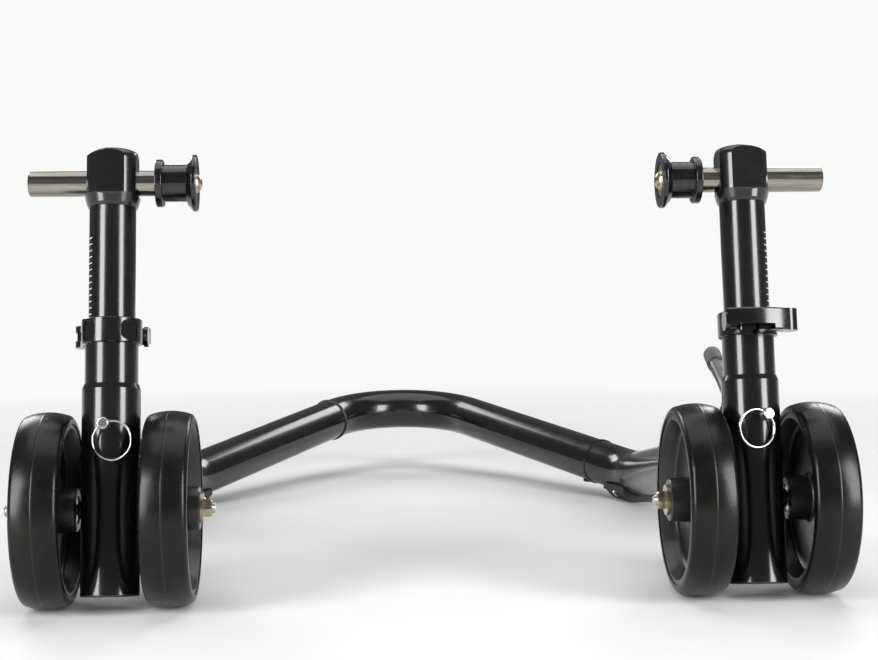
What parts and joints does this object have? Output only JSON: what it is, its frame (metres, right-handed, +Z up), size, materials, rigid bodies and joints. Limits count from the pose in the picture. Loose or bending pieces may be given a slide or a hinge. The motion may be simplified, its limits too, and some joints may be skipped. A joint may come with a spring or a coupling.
{
  "type": "wheel dolly",
  "caption": "Paddock-stand wheel dolly: leaning telescopic posts on paired wheels, grooved rollers on sliding bars, joined by a bent tube arch resting on rubber feet",
  "frame": {"origin": "middle of the footprint, on the floor", "axes": "+Z up, +X from the left leg to the right leg, +Y from the posts towards the arch"},
  "size_m": [0.6606, 0.9484, 0.3539],
  "materials": {
    "frame_black": "gloss black powder coat over steel",
    "clamp_black": "black anodised, satin",
    "spool_black": "black anodised, satin, turned",
    "tyre": "satin moulded rubber tread",
    "hub": "black moulded plastic, satin with a bright lip",
    "bearing_steel": "ground steel",
    "yellow_zinc": "yellow zinc plate",
    "bright_steel": "bright zinc plate",
    "polished_bar": "polished round bar",
    "dark_screw": "black oxide",
    "cap_plastic": "black moulded plastic",
    "foot_rubber": "black moulded rubber",
    "seal_rubber": "black rubber ring",
    "lever_steel": "brushed steel",
    "grip_grey": "grey dipped grip"
  },
  "bodies": {
    "root": {"arch_tube": "frame_black", "foot_pads": "foot_rubber", "foot_screws": "bright_steel", "joint_screws": "dark_screw", "joint_spigot": "frame_black", "left_arm_tube": "frame_black", "left_axle": "bright_steel", "left_axle_nuts": "yellow_zinc", "left_axle_washers": "yellow_zinc", "left_leg_cap": "cap_plastic", "left_leg_tube": "frame_black", "left_sleeve": "frame_black", "lever_lugs": "frame_black", "lever_pin": "dark_screw", "right_arm_tube": "frame_black", "right_axle": "bright_steel", "right_axle_nuts": "yellow_zinc", "right_axle_washers": "yellow_zinc", "right_leg_cap": "cap_plastic", "right_leg_tube": "frame_black", "right_sleeve": "frame_black"},
    "left_outer_wheel": {"left_outer_wheel_tyre": "tyre", "left_outer_wheel_hub": "hub", "left_outer_wheel_bearings": "bearing_steel"},
    "left_inner_wheel": {"left_inner_wheel_tyre": "tyre", "left_inner_wheel_hub": "hub", "left_inner_wheel_bearings": "bearing_steel"},
    "left_pin": {"left_lock_pin": "bright_steel"},
    "left_ring": {"left_pull_ring": "bright_steel"},
    "left_clamp": {"left_clamp_collar": "clamp_black", "left_clamp_bolt": "clamp_black"},
    "left_cam": {"left_clamp_lever": "clamp_black"},
    "left_post": {"left_post_tube": "frame_black", "left_head": "frame_black", "left_head_screw": "dark_screw"},
    "left_bar": {"left_slide_bar": "polished_bar", "left_spool_screw": "yellow_zinc"},
    "left_spool_body": {"left_spool": "spool_black"},
    "right_outer_wheel": {"right_outer_wheel_tyre": "tyre", "right_outer_wheel_hub": "hub", "right_outer_wheel_bearings": "bearing_steel"},
    "right_inner_wheel": {"right_inner_wheel_tyre": "tyre", "right_inner_wheel_hub": "hub", "right_inner_wheel_bearings": "bearing_steel"},
    "right_pin": {"right_lock_pin": "bright_steel"},
    "right_ring": {"right_pull_ring": "bright_steel"},
    "right_clamp": {"right_clamp_collar": "clamp_black", "right_clamp_bolt": "clamp_black"},
    "right_cam": {"right_clamp_lever": "clamp_black"},
    "right_post": {"right_post_tube": "frame_black", "right_head": "frame_black", "right_head_screw": "dark_screw"},
    "right_bar": {"right_slide_bar": "polished_bar", "right_spool_screw": "yellow_zinc"},
    "right_spool_body": {"right_spool": "spool_black"},
    "lever": {"lock_lever": "lever_steel", "lever_ring": "seal_rubber", "lever_grip": "grip_grey"}
  },
  "joints": [
    {"name": "left_outer_wheel_spin", "type": "hinge", "parent": "root", "child": "left_outer_wheel", "pos_m": [-0.2965, -0.399, 0.075], "axis": [1, 0, 0], "continuous": true},
    {"name": "left_inner_wheel_spin", "type": "hinge", "parent": "root", "child": "left_inner_wheel", "pos_m": [-0.2035, -0.399, 0.075], "axis": [1, 0, 0], "continuous": true},
    {"name": "left_pin_pull", "type": "slide", "parent": "root", "child": "left_pin", "axis": [-0.0872, -0.9811, 0.173], "range_m": [0, 0.06]},
    {"name": "left_ring_flip", "type": "hinge", "parent": "left_pin", "child": "left_ring", "pos_m": [-0.25232, -0.41398, 0.14263], "axis": [-0.8876, -0.0024, -0.4606], "range_deg": [0, 110]},
    {"name": "left_clamp_turn", "type": "hinge", "parent": "root", "child": "left_clamp", "pos_m": [-0.25, -0.37538, 0.20893], "axis": [0, 0.1736, 0.9848], "range_deg": [-90, 90]},
    {"name": "left_cam_open", "type": "hinge", "parent": "left_clamp", "child": "left_cam", "pos_m": [-0.2739, -0.34768, 0.20481], "axis": [0, 0.1736, 0.9848], "range_deg": [0, 170]},
    {"name": "left_post_lift", "type": "slide", "parent": "left_clamp", "child": "left_post", "axis": [0, 0.1736, 0.9848], "range_m": [0, 0.045]},
    {"name": "left_bar_shift", "type": "slide", "parent": "left_post", "child": "left_bar", "axis": [1, 0, 0], "range_m": [-0.011, 0.036]},
    {"name": "left_spool_spin", "type": "hinge", "parent": "left_bar", "child": "left_spool_body", "pos_m": [-0.2, -0.35472, 0.32613], "axis": [1, 0, 0], "continuous": true},
    {"name": "right_outer_wheel_spin", "type": "hinge", "parent": "root", "child": "right_outer_wheel", "pos_m": [0.2965, -0.399, 0.075], "axis": [1, 0, 0], "continuous": true},
    {"name": "right_inner_wheel_spin", "type": "hinge", "parent": "root", "child": "right_inner_wheel", "pos_m": [0.2035, -0.399, 0.075], "axis": [1, 0, 0], "continuous": true},
    {"name": "right_pin_pull", "type": "slide", "parent": "root", "child": "right_pin", "axis": [0.2419, -0.9556, 0.1685], "range_m": [0, 0.06]},
    {"name": "right_ring_flip", "type": "hinge", "parent": "right_pin", "child": "right_ring", "pos_m": [0.25644, -0.4133, 0.14251], "axis": [-0.7433, -0.0709, 0.6652], "range_deg": [0, 110]},
    {"name": "right_clamp_turn", "type": "hinge", "parent": "root", "child": "right_clamp", "pos_m": [0.25, -0.37538, 0.20893], "axis": [0, 0.1736, 0.9848], "range_deg": [-90, 90]},
    {"name": "right_cam_open", "type": "hinge", "parent": "right_clamp", "child": "right_cam", "pos_m": [0.2739, -0.40283, 0.21454], "axis": [0, 0.1736, 0.9848], "range_deg": [0, 170]},
    {"name": "right_post_lift", "type": "slide", "parent": "right_clamp", "child": "right_post", "axis": [0, 0.1736, 0.9848], "range_m": [0, 0.045]},
    {"name": "right_bar_shift", "type": "slide", "parent": "right_post", "child": "right_bar", "axis": [-1, 0, 0], "range_m": [-0.011, 0.036]},
    {"name": "right_spool_spin", "type": "hinge", "parent": "right_bar", "child": "right_spool_body", "pos_m": [0.2, -0.35472, 0.32613], "axis": [1, 0, 0], "continuous": true},
    {"name": "lock_lever_turn", "type": "hinge", "parent": "root", "child": "lever", "pos_m": [0.25, -0.33494, 0.13885], "axis": [1, 0, 0], "range_deg": [-20, 30]}
  ]
}
